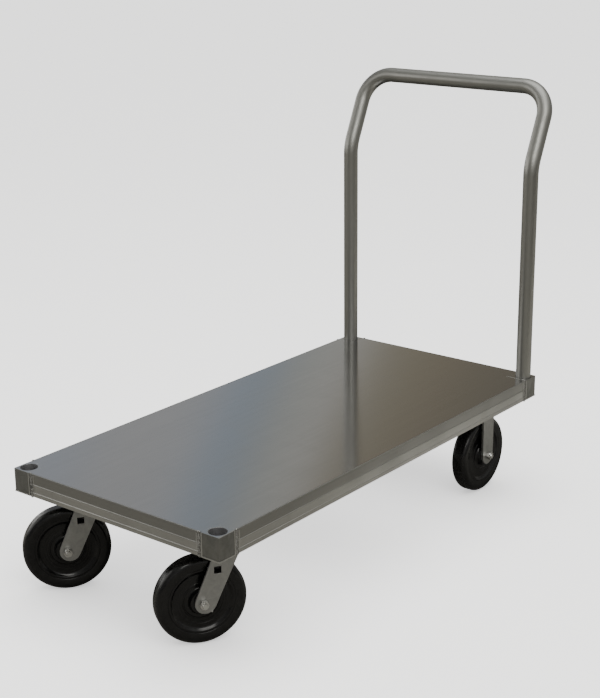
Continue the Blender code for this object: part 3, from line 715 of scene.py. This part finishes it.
def build_handle():
    """The bent tube, hollow from foot to foot."""
    low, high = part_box("handle_tube")
    radius = TUBE_DIAMETER / 2
    x = high.x - radius
    y = low.y + radius
    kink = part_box("deck_plate")[1].z + KINK_ABOVE_DECK
    bar = high.z - radius
    lean = high.y - radius
    corners = [
        Vector((-x, y, low.z)),
        Vector((-x, y, kink)),
        Vector((-x, lean, bar)),
        Vector((x, lean, bar)),
        Vector((x, y, kink)),
        Vector((x, y, low.z)),
    ]
    radii = (KINK_RADIUS, CORNER_RADIUS, CORNER_RADIUS, KINK_RADIUS)
    path = rounded_path(corners, radii, BEND_STEP)
    frames = path_frames(path)
    shape = bmesh.new()
    layer = shape.verts.layers.float_vector.new("lay")
    for size in (radius, radius - TUBE_WALL):
        bmesh.ops.create_circle(
            shape, cap_ends=False, radius=size, segments=TUBE_SIDES, matrix=frames[0]
        )
    edges = list(shape.edges)
    home = frames[0].inverted()
    for vert in shape.verts:
        vert[layer] = home @ vert.co
    bmesh.ops.bridge_loops(shape, edges=edges)
    run = 0.0
    for i in range(1, len(frames)):
        run += (path[i] - path[i - 1]).length
        verts, edges = grow(shape, edges)
        bmesh.ops.transform(shape, matrix=frames[i] @ frames[i - 1].inverted(), verts=verts)
        home = Matrix.Translation((0.0, 0.0, run)) @ frames[i].inverted()
        for vert in verts:
            vert[layer] = home @ vert.co
    bmesh.ops.bridge_loops(shape, edges=edges)
    bmesh.ops.recalc_face_normals(shape, faces=shape.faces)
    ease_edges(shape, 0.0005, 60.0)
    new_piece(
        "bent_handle_tube", shape, TUBE, "handle",
        ["handle_tube"], OWN_AXES, 40.0,
    )


def run_turn(start, end, outwards):
    """The turn whose axes lie across a run, out of the surface and along the run."""
    along = (end - start).normalized()
    return Matrix((outwards.cross(along), outwards, along)).transposed().to_4x4()


def weld_coins(shape, start, end, outwards, width, proud, pitch):
    """A run of overlapping flat drops of weld metal from one point to another."""
    turn = run_turn(start, end, outwards)
    across = turn.col[0].xyz
    count = max(2, round((end - start).length / pitch))
    for i in range(count + 1):
        spot = start.lerp(end, i / count)
        spot += across * chance.uniform(-COIN_WANDER, COIN_WANDER) * width
        size = chance.uniform(*COIN_SIZES)
        scale = Matrix.Diagonal((size * width / 2, proud * size, pitch * COIN_LENGTH, 1.0))
        tilt = Matrix.Rotation(chance.uniform(*COIN_TILTS), 4, "X")
        bmesh.ops.create_uvsphere(
            shape,
            u_segments=10,
            v_segments=6,
            radius=1.0,
            matrix=Matrix.Translation(spot) @ turn @ scale @ tilt,
        )


def ridge(shape, start, end, outwards, width, proud):
    """A low rounded ridge from one point to another."""
    turn = run_turn(start, end, outwards)
    along = turn.col[2].xyz
    scale = Matrix.Diagonal((width, proud * 2, (end - start).length, 1.0))
    placed = Matrix.Translation((start + end) / 2) @ turn @ scale
    cube = bmesh.ops.create_cube(shape, size=1.0, matrix=placed)["verts"]
    edges = [
        e for e in ring_edges(shape, cube)
        if abs((e.verts[1].co - e.verts[0].co).normalized().dot(along)) > 0.9
    ]
    bmesh.ops.bevel(
        shape, geom=edges, offset=min(width, 2 * proud) * 0.45, offset_type="OFFSET",
        segments=3, profile=0.5, affect="EDGES", material=-1,
    )


def build_corner_welds():
    """Where each rail meets a post: a rough bead with a dressed edge on each side."""
    rail_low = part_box("front_rail")[0].z
    for corner in CORNERS:
        low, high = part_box(corner + "_post")
        sign_x = math.copysign(1, low.x)
        sign_y = math.copysign(1, low.y)
        inner_x, outer_x = (low.x, high.x) if sign_x > 0 else (high.x, low.x)
        inner_y, outer_y = (low.y, high.y) if sign_y > 0 else (high.y, low.y)
        end_face = (Vector((inner_x, outer_y, 0)), Vector((-sign_x, 0, 0)), Vector((0, sign_y, 0)))
        side_face = (Vector((outer_x, inner_y, 0)), Vector((0, -sign_y, 0)), Vector((sign_x, 0, 0)))
        for name, (joint, inwards, outwards) in (("end", end_face), ("side", side_face)):
            foot = joint + UP * (rail_low + 0.001)
            head = joint + UP * (high.z - 0.001)
            bead = bmesh.new()
            spot = inwards * BEAD_OFF_JOINT - outwards * 0.0007
            weld_coins(
                bead, foot + spot, head + spot, outwards, BEAD_WIDTH, BEAD_PROUD, BEAD_PITCH
            )
            new_piece(
                f"{corner}_{name}_weld", bead, BEAD, "platform",
                lay=OWN_AXES, sharp=60.0,
            )
            dressed = bmesh.new()
            for offset, sunk, width in ((-0.0026, 0.0, 0.0030), (0.0118, 0.0012, 0.0028)):
                shift = inwards * offset - outwards * sunk
                ridge(dressed, foot + shift, head + shift, outwards, width, 0.0007)
            new_piece(
                f"{corner}_{name}_weld_edges", dressed, GROUND, "platform",
                lay=OWN_AXES,
            )


def build_weld_pore():
    """A small open pore left in the weld beside the front left post: a shallow near-black cup,
    painted shade for the depth of the hole.
    """
    post_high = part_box("front_left_post")[1]
    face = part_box("front_rail")[0].y
    profile = [
        (0.0001, 0.0002), (0.0013, 0.0002), (0.0015, 0.0016), (0.0022, 0.0018),
        (0.0026, 0.0008), (0.0026, -0.0005), (0.0001, -0.0005),
    ]
    spot = Vector((post_high.x + BEAD_OFF_JOINT, face - 0.0006, post_high.z - 0.031))
    turned_piece(
        "front_left_weld_pore", profile, FITTING_STEPS, PAINTED_PORE_SHADE, "platform",
        facing(Vector((0, -1, 0)), spot),
    )


def build_deck_seam():
    """The ground seam that closes the joint round the deck sheet."""
    low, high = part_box("deck_plate")
    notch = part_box("rear_right_post")[0]
    front_notch_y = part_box("front_right_post")[1].y
    runs = [
        ((-notch.x, low.y), (notch.x, low.y)),
        ((-notch.x, high.y), (notch.x, high.y)),
        ((low.x, front_notch_y), (low.x, notch.y)),
        ((high.x, front_notch_y), (high.x, notch.y)),
    ]
    for sign in (-1, 1):
        runs += [
            ((sign * notch.x, low.y), (sign * notch.x, front_notch_y)),
            ((sign * notch.x, front_notch_y), (sign * high.x, front_notch_y)),
            ((sign * notch.x, notch.y), (sign * notch.x, high.y)),
            ((sign * notch.x, notch.y), (sign * high.x, notch.y)),
        ]
    seam = bmesh.new()
    for start, end in runs:
        ridge(
            seam, Vector((*start, high.z)), Vector((*end, high.z)), UP, SEAM_WIDTH, SEAM_PROUD
        )
    new_piece("deck_seam", seam, DECK, "platform", lay=OWN_AXES)
    mark = bmesh.new()
    start = Vector((notch.x - 0.008, notch.y, high.z))
    ridge(mark, start, Vector((high.x, notch.y, high.z)), UP, 0.0022, 0.0003)
    new_piece("rear_right_notch_seam", mark, GROUND, "platform", lay=OWN_AXES)


def build_underside():
    """The channels with eased edges, and the welds that hold them."""
    for name in ("front", "middle", "rear"):
        node = name + "_crossmember"
        eased_piece(node, CHANNEL, "platform", 0.0008, "X")
        low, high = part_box(node)
        welds = bmesh.new()
        for x in (low.x, high.x):
            for y in (low.y, high.y):
                out = Vector((0, math.copysign(1, y - (low.y + high.y) / 2), 0))
                foot = Vector((x, y, low.z + 0.004)) + out * 0.0005
                head = Vector((x, y, high.z - 0.006)) + out * 0.0005
                weld_coins(
                    welds, foot, head, out, CHANNEL_BEAD_WIDTH, 0.0028, CHANNEL_BEAD_PITCH
                )
            start = Vector((x, low.y + 0.004, low.z + 0.0002))
            end = Vector((x, high.y - 0.004, low.z + 0.0002))
            weld_coins(welds, start, end, -UP, CHANNEL_BEAD_WIDTH, 0.0016, CHANNEL_BEAD_PITCH)
        new_piece(
            node + "_welds", welds, BEAD, "platform", lay=OWN_AXES, sharp=60.0
        )


# Casters


def hex_body(shape, across_corners, bottom, top, chamfer, both_ends):
    """The rings of a hexagon with its corners turned off at one end or both."""
    flat = across_corners / 2 * math.cos(math.pi / 6)
    lip = flat * 0.96
    levels = [(bottom, lip if both_ends else None)]
    if both_ends:
        levels.append((bottom + chamfer, None))
    levels += [(top - chamfer, None), (top, lip)]
    rings = []
    for height, cut in levels:
        ring = new_ring(shape, 1.0, 0.0, HEX_STEPS)
        for vert in ring:
            angle = math.atan2(vert.co.y, vert.co.x)
            size = flat / math.cos((angle % (math.pi / 3)) - math.pi / 6)
            level = height
            if cut is None:
                fade_out = (size - flat) / (across_corners / 2 - flat)
                inwards = 1 if height < (top + bottom) / 2 else -1
                level += inwards * fade_out * chamfer * 0.8
            else:
                size = cut
            vert.co = (math.cos(angle) * size, math.sin(angle) * size, level)
        rings.append(ring)
    return rings


def nut_shape(across_corners, bottom, top, bore):
    """A hex nut with both faces chamfered and a bore through it."""
    shape = bmesh.new()
    rings = hex_body(shape, across_corners, bottom, top, HEX_CHAMFER, True)
    rings += [new_ring(shape, bore, height, HEX_STEPS) for height in (top, bottom)]
    for ring, after in zip(rings, rings[1:] + rings[:1]):
        bridge(shape, ring, after)
    bmesh.ops.recalc_face_normals(shape, faces=shape.faces)
    return shape


def bolt_shape(across_corners, head_low, head_top, radius, thread_from, end):
    """A hex bolt along +Z: its head below, its threaded end above."""
    shape = bmesh.new()
    head = hex_body(shape, across_corners, head_top, head_low, -HEX_CHAMFER, False)
    stations = [(radius, head_top), (radius, thread_from)]
    height = thread_from
    while height + THREAD_PITCH < end - 0.0008:
        stations += [(radius * 0.89, height + THREAD_PITCH / 2), (radius, height + THREAD_PITCH)]
        height += THREAD_PITCH
    stations += [(radius * 0.84, end)]
    shank = [head[0]] + [new_ring(shape, size, level, HEX_STEPS) for size, level in stations]
    for rings in (shank, head):
        for ring, after in zip(rings, rings[1:]):
            bridge(shape, ring, after)
    for ring in (head[-1], shank[-1]):
        bmesh.ops.contextual_create(shape, geom=ring_edges(shape, ring))
    bmesh.ops.recalc_face_normals(shape, faces=shape.faces)
    return shape


def wheel_profile():
    """The wheel's section: crowned tread, round shoulders, rim, ringed web and hub."""
    half = [
        (BORE_RADIUS, HUB_HALF_WIDTH - 0.0006),
        (BORE_RADIUS + 0.0006, HUB_HALF_WIDTH),
        (HUB_RADIUS - 0.0008, HUB_HALF_WIDTH),
        (HUB_RADIUS, HUB_HALF_WIDTH - 0.0008),
        (0.0285, 0.0190),
        (0.0300, 0.0155),
        (0.0320, WEB_HALF_WIDTH + 0.0003),
        (0.0345, WEB_HALF_WIDTH),
        (0.0388, WEB_HALF_WIDTH),
        (0.0400, WEB_HALF_WIDTH + 0.0012),
        (0.0418, WEB_HALF_WIDTH + 0.0012),
        (0.0430, WEB_HALF_WIDTH),
        (0.0480, WEB_HALF_WIDTH - 0.0002),
        (0.0484, WEB_HALF_WIDTH + 0.0003),
        (0.0540, WEB_HALF_WIDTH + 0.0003),
        (0.0544, WEB_HALF_WIDTH + 0.0007),
        (0.0620, WEB_HALF_WIDTH + 0.0008),
        (0.0642, WEB_HALF_WIDTH + 0.0014),
        (0.0674, RIM_FACE - 0.0030),
        (0.0690, RIM_FACE - 0.0008),
        (0.0705, RIM_FACE),
        (0.0740, RIM_FACE),
        (0.0746, RIM_FACE - 0.0006),
        (0.0754, RIM_FACE - 0.0006),
        (0.0762, RIM_FACE + 0.0002),
    ]
    centre = (WHEEL_RADIUS - SHOULDER_RADIUS, WHEEL_HALF_WIDTH - SHOULDER_RADIUS)
    half += arc(centre, SHOULDER_RADIUS, math.pi / 2, 0.06, 9)
    half += [(WHEEL_RADIUS, 0.0)]
    return half + [(radius, -across) for radius, across in reversed(half[:-1])]


def build_wheel(caster):
    """The wheel, its grease fitting, and the axle bolt and nut that hold it."""
    body = caster + "_roller"
    centre = middle(caster + "_wheel")
    outwards = (middle(caster + "_axle_nut") - centre).normalized()
    placed = facing(outwards, centre)
    turned_piece(
        "moulded_" + caster + "_wheel", wheel_profile(), WHEEL_STEPS, WHEEL, body,
        placed, [caster + "_wheel"],
    )
    spoke = UP
    if caster == "front_right":
        spoke = (UP.cross(outwards) * 0.62 - UP * 0.78).normalized()
    fitting = [
        (0.0001, -0.002), (0.0030, -0.002), (0.0030, 0.0022), (0.0019, 0.0030),
        (0.0019, 0.0042), (0.0026, 0.0052), (0.0024, 0.0066), (0.0012, 0.0074), (0.0001, 0.0075),
    ]
    turned_piece(
        caster + "_grease_fitting", fitting, FITTING_STEPS, BRIGHT, body,
        facing(spoke, centre + spoke * 0.0285 + outwards * 0.0195),
    )
    holder = "platform" if caster.startswith("rear") else caster + "_caster"
    corners = AXLE_RADIUS * 2 * 1.5 / math.cos(math.pi / 6)
    seat = LEG_OUTER + GAP
    nut_top = seat + NUT_HEIGHT
    nut = nut_shape(corners, seat, nut_top, AXLE_RADIUS * 0.98)
    bolt = bolt_shape(corners, -seat - HEAD_HEIGHT, -seat, AXLE_RADIUS, 0.020, nut_top + 0.003)
    for name, shape in (("nut", nut), ("bolt", bolt)):
        bmesh.ops.transform(shape, matrix=placed, verts=shape.verts)
        new_piece(
            f"{caster}_axle_hex_{name}", shape, BRIGHT, holder,
            [f"{caster}_axle_{name}"], OWN_AXES, 24.0,
        )


def build_swivel(caster):
    """The two races of a swivel head, with a dust lip between them."""
    for part, body in (("upper", "platform"), ("lower", caster + "_caster")):
        low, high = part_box(f"{caster}_{part}_race")
        radius = (high.x - low.x) / 2
        centre = (low + high) / 2
        bottom, top = low.z - centre.z, high.z - centre.z
        if part == "upper":
            profile = [
                (RACE_BORE, bottom), (radius - 0.0022, bottom), (radius, bottom + 0.0022),
                (radius, bottom + 0.0050), (radius - 0.0030, top - 0.0030),
                (radius - 0.0050, top), (RACE_BORE, top),
            ]
        else:
            profile = [
                (RACE_BORE, bottom), (radius - 0.0040, bottom), (radius - 0.0010, bottom + 0.0016),
                (radius, bottom + 0.0032), (radius, top - 0.0008), (radius - 0.0008, top),
                (RACE_BORE, top),
            ]
        turned_piece(
            f"pressed_{caster}_{part}_race", profile, RACE_STEPS, ZINC, body,
            Matrix.Translation(centre), [f"{caster}_{part}_race"],
        )
    eased_piece(caster + "_kingpin_nut", BRIGHT, "platform", BROKEN_EDGE)


def build_casters():
    """All four casters, and the pads and plates that hold them."""
    for caster in CORNERS:
        swivels = caster.startswith("front")
        holder = caster + "_caster" if swivels else "platform"
        eased_piece(caster + "_fork", ZINC, holder, 0.0007, over=25.0)
        eased_piece(caster + "_pad", CHANNEL, "platform", BROKEN_EDGE)
        eased_piece(caster + "_plate", ZINC, "platform", BROKEN_EDGE)
        if swivels:
            build_swivel(caster)
        build_wheel(caster)


def refinish_hidden_nodes():
    """Gives the nodes that keep their CAD shape their finish."""
    hidden = coated_finish(
        "turned steel",
        (0.45, 0.445, 0.42, 1), (0.56, 0.555, 0.53, 1), (0.66, 0.66, 0.64, 1),
        0.30, 1.0, 140.0, 1600.0, 0.10,
    )
    for name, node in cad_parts.items():
        finish = DECK if name == "deck_plate" else hidden
        for material_slot in node.material_slots:
            material_slot.material = finish


# Floor, light and camera


def build_floor():
    """A plain pale floor that runs past the horizon. Reflections see a darker copy of it in painted
    shade, with more painted shade to the front right, a painted pool of light to the right and a
    painted shadow behind the cart.
    """
    shape = bmesh.new()
    bmesh.ops.create_grid(shape, x_segments=1, y_segments=1, size=160.0)
    mesh = bpy.data.meshes.new("studio_floor")
    shape.to_mesh(mesh)
    shape.free()
    material, tree, shader, place = new_finish("studio floor", 0.9, 0.0, Specular_IOR_Level=0.1)
    rays = place_node(tree, "ShaderNodeLightPath").outputs
    cloud = noise_value(tree, place, 1.5, 3.0)
    pale = tint(tree, cloud, (0.84, 0.84, 0.84, 1), (0.88, 0.88, 0.88, 1))
    # The darker copy of the floor that reflections see: painted shade.
    painted_reflected_floor = tint(tree, cloud, (0.27, 0.26, 0.235, 1), (0.35, 0.337, 0.305, 1))
    split = place_node(tree, "ShaderNodeSeparateXYZ", {0: place}).outputs
    back = reach(tree, split, TO_BACK)
    right = reach(tree, split, TO_RIGHT)
    # Painted shade on the floor to the front right, seen only in reflections.
    painted_shade_right = product(
        tree, fade(tree, right, 0.8, 1.8, 0.0, 0.6), fade(tree, back, -0.3, -0.8)
    )
    painted_reflected_floor = tint(tree, painted_shade_right, painted_reflected_floor, (0.06, 0.055, 0.045, 1))
    # A painted pool of light on the floor to the right, seen only in reflections.
    painted_light_pool = product(tree, fade(tree, right, 0.5, 0.9), fade(tree, back, -0.6, -0.35))
    painted_reflected_floor = tint(tree, painted_light_pool, painted_reflected_floor, (0.60, 0.585, 0.54, 1))
    # A painted shadow of the cart on the floor behind it, seen only in reflections.
    away = place_node(
        tree, "ShaderNodeVectorMath", {0: place, 1: (-0.35, 1.05, 0.0)}, operation="DISTANCE"
    )
    painted_cart_shadow = fade(tree, away.outputs["Value"], 1.05, 0.6)
    painted_reflected_floor = tint(tree, painted_cart_shadow, painted_reflected_floor, (0.04, 0.039, 0.036, 1))
    seen = tint(tree, rays["Is Glossy Ray"], pale, painted_reflected_floor)
    tree.links.new(seen, shader.inputs["Base Color"])
    shader.inputs["Emission Color"].default_value = (1.0, 1.0, 1.0, 1.0)
    # The floor glows for the camera, and glows less where the cart is near: a painted contact
    # shadow.
    nearby = place_node(
        tree, "ShaderNodeAmbientOcclusion", {"Distance": 0.30}, samples=8
    ).outputs["AO"]
    shade = spread(tree, nearby, 0.35, 1.0, 0.5, 1.0)
    glow_with_painted_shadow = product(tree, shade, rays["Is Camera Ray"], 1.5)
    tree.links.new(glow_with_painted_shadow, shader.inputs["Emission Strength"])
    mesh.materials.append(material)
    floor = bpy.data.objects.new("studio_floor", mesh)
    bpy.context.scene.collection.objects.link(floor)


def mirrored_panels(tree, turn, rise):
    """Leaning cool and warm bands in the room behind the cart, which the deck mirrors."""
    lean, upright_at, gain = 0.43, 20.8, 2.3
    leaning = calculate(tree, "MULTIPLY_ADD", rise, -lean, turn)
    leaning = calculate(tree, "ADD", leaning, lean * upright_at)
    stops = [
        (20.0, (0.07, 0.065, 0.058)),
        (31.0, (0.092, 0.083, 0.067)),
        (33.5, (0.118, 0.104, 0.078)),
        (36.2, (0.140, 0.127, 0.098)),
        (36.9, (0.170, 0.160, 0.132)),
        (37.9, (0.238, 0.232, 0.225)),
        (38.8, (0.220, 0.222, 0.205)),
        (39.6, (0.196, 0.198, 0.182)),
        (40.4, (0.160, 0.176, 0.190)),
        (41.3, (0.146, 0.176, 0.212)),
        (42.2, (0.168, 0.190, 0.220)),
        (43.2, (0.214, 0.216, 0.219)),
        (46.5, (0.216, 0.216, 0.216)),
        (48.5, (0.196, 0.212, 0.236)),
        (52.0, (0.22, 0.225, 0.235)),
    ]
    ramp = tree.nodes.new("ShaderNodeValToRGB")
    first, last = stops[0][0], stops[-1][0]
    elements = ramp.color_ramp.elements
    for i, (angle, colour) in enumerate(stops):
        spot = (angle - first) / (last - first)
        element = elements[i] if i < 2 else elements.new(spot)
        element.position = spot
        element.color = (*colour, 1.0)
    tree.links.new(spread(tree, leaning, first, last), ramp.inputs["Fac"])
    return tint(tree, 1.0, ramp.outputs["Color"], (gain, gain, gain, 1), "MULTIPLY")


def build_world():
    """Soft surroundings: a pale room, panels behind the cart and a bright card to its left."""
    world = bpy.data.worlds.new("studio")
    bpy.context.scene.world = world
    world.use_nodes = True
    tree = world.node_tree
    direction = place_node(tree, "ShaderNodeTexCoord").outputs["Generated"]
    split = place_node(tree, "ShaderNodeSeparateXYZ", {0: direction}).outputs
    turn = calculate(tree, "ARCTAN2", product(tree, split["X"], -1.0), split["Y"])
    turn = calculate(tree, "DEGREES", turn)
    rise = calculate(tree, "DEGREES", calculate(tree, "ARCSINE", split["Z"]))
    right = reach(tree, split, TO_RIGHT)
    front = reach(tree, split, TO_FRONT)
    room = tint(
        tree, fade(tree, rise, 18.0, 48.0), (0.30, 0.296, 0.28, 1), (0.80, 0.802, 0.765, 1)
    )
    room = tint(tree, fade(tree, right, 0.1, -0.5, 0.0, 0.7), room, (0.13, 0.128, 0.12, 1))
    low_wall = product(
        tree,
        band(tree, rise, 2.0, 9.0, 20.0, 28.0),
        fade(tree, front, -0.1, 0.3),
        fade(tree, right, -0.6, 0.0, 0.25, 1.0),
    )
    room = tint(tree, low_wall, room, (0.56, 0.552, 0.53, 1))
    window = product(
        tree, band(tree, turn, -20.0, 15.0, 60.0, 95.0), band(tree, rise, 3.0, 11.0, 28.0, 42.0)
    )
    room = tint(tree, window, room, mirrored_panels(tree, turn, rise))
    card = product(
        tree, band(tree, turn, 62.0, 72.0, 105.0, 125.0), fade(tree, rise, 22.0, 12.0)
    )
    room = tint(tree, card, room, (2.0, 1.98, 1.92, 1))
    rays = place_node(tree, "ShaderNodeLightPath").outputs
    seen = tint(tree, rays["Is Camera Ray"], room, (1.84, 1.84, 1.835, 1))
    tree.links.new(seen, tree.nodes["Background"].inputs["Color"])


def build_light(name, spot, aim, size, power, colour):
    """A rectangular soft light aimed at a point, which the camera doesn't see."""
    lamp = bpy.data.lights.new(name, "AREA")
    lamp.shape = "RECTANGLE"
    lamp.size, lamp.size_y = size
    lamp.energy = power
    lamp.color = colour
    light = bpy.data.objects.new(name, lamp)
    light.location = spot
    light.rotation_euler = (Vector(aim) - Vector(spot)).to_track_quat("-Z", "Y").to_euler()
    light.visible_camera = False
    bpy.context.scene.collection.objects.link(light)


def build_lights():
    """Three large soft lights: from the right, overhead and from the left."""
    build_light("key", (3.2, -2.3, 3.8), (0, 0, 0.4), (3.4, 2.4), 95.0, (1.0, 0.98, 0.94))
    build_light("overhead", (0.3, 0.2, 4.2), (0, 0, 0.3), (3.5, 3.5), 75.0, (1.0, 1.0, 1.0))
    build_light("fill", (-3.0, -2.6, 1.9), (0, 0, 0.4), (3.0, 2.4), 30.0, (1.0, 0.98, 0.95))


def build_camera():
    """The camera, in front of the cart, to its right and above the deck."""
    camera_data = bpy.data.cameras.new("camera")
    camera_data.lens = 74.688
    camera_data.sensor_width = 36.0
    camera = bpy.data.objects.new("camera", camera_data)
    round_cart, down, roll = 0.67315, 0.30817, -0.01043
    turn = Matrix.Rotation(round_cart, 4, "Z") @ Matrix.Rotation(math.pi / 2 - down, 4, "X")
    turn = turn @ Matrix.Rotation(roll, 4, "Z")
    camera.matrix_world = Matrix.Translation((2.09078, -2.64402, 1.54930)) @ turn
    bpy.context.scene.collection.objects.link(camera)
    bpy.context.scene.camera = camera


build_camera()
build_floor()
build_world()
build_lights()
refinish_hidden_nodes()
build_rails()
for corner in CORNERS:
    build_post(corner)
build_handle()
build_corner_welds()
build_weld_pore()
build_deck_seam()
build_underside()
build_casters()
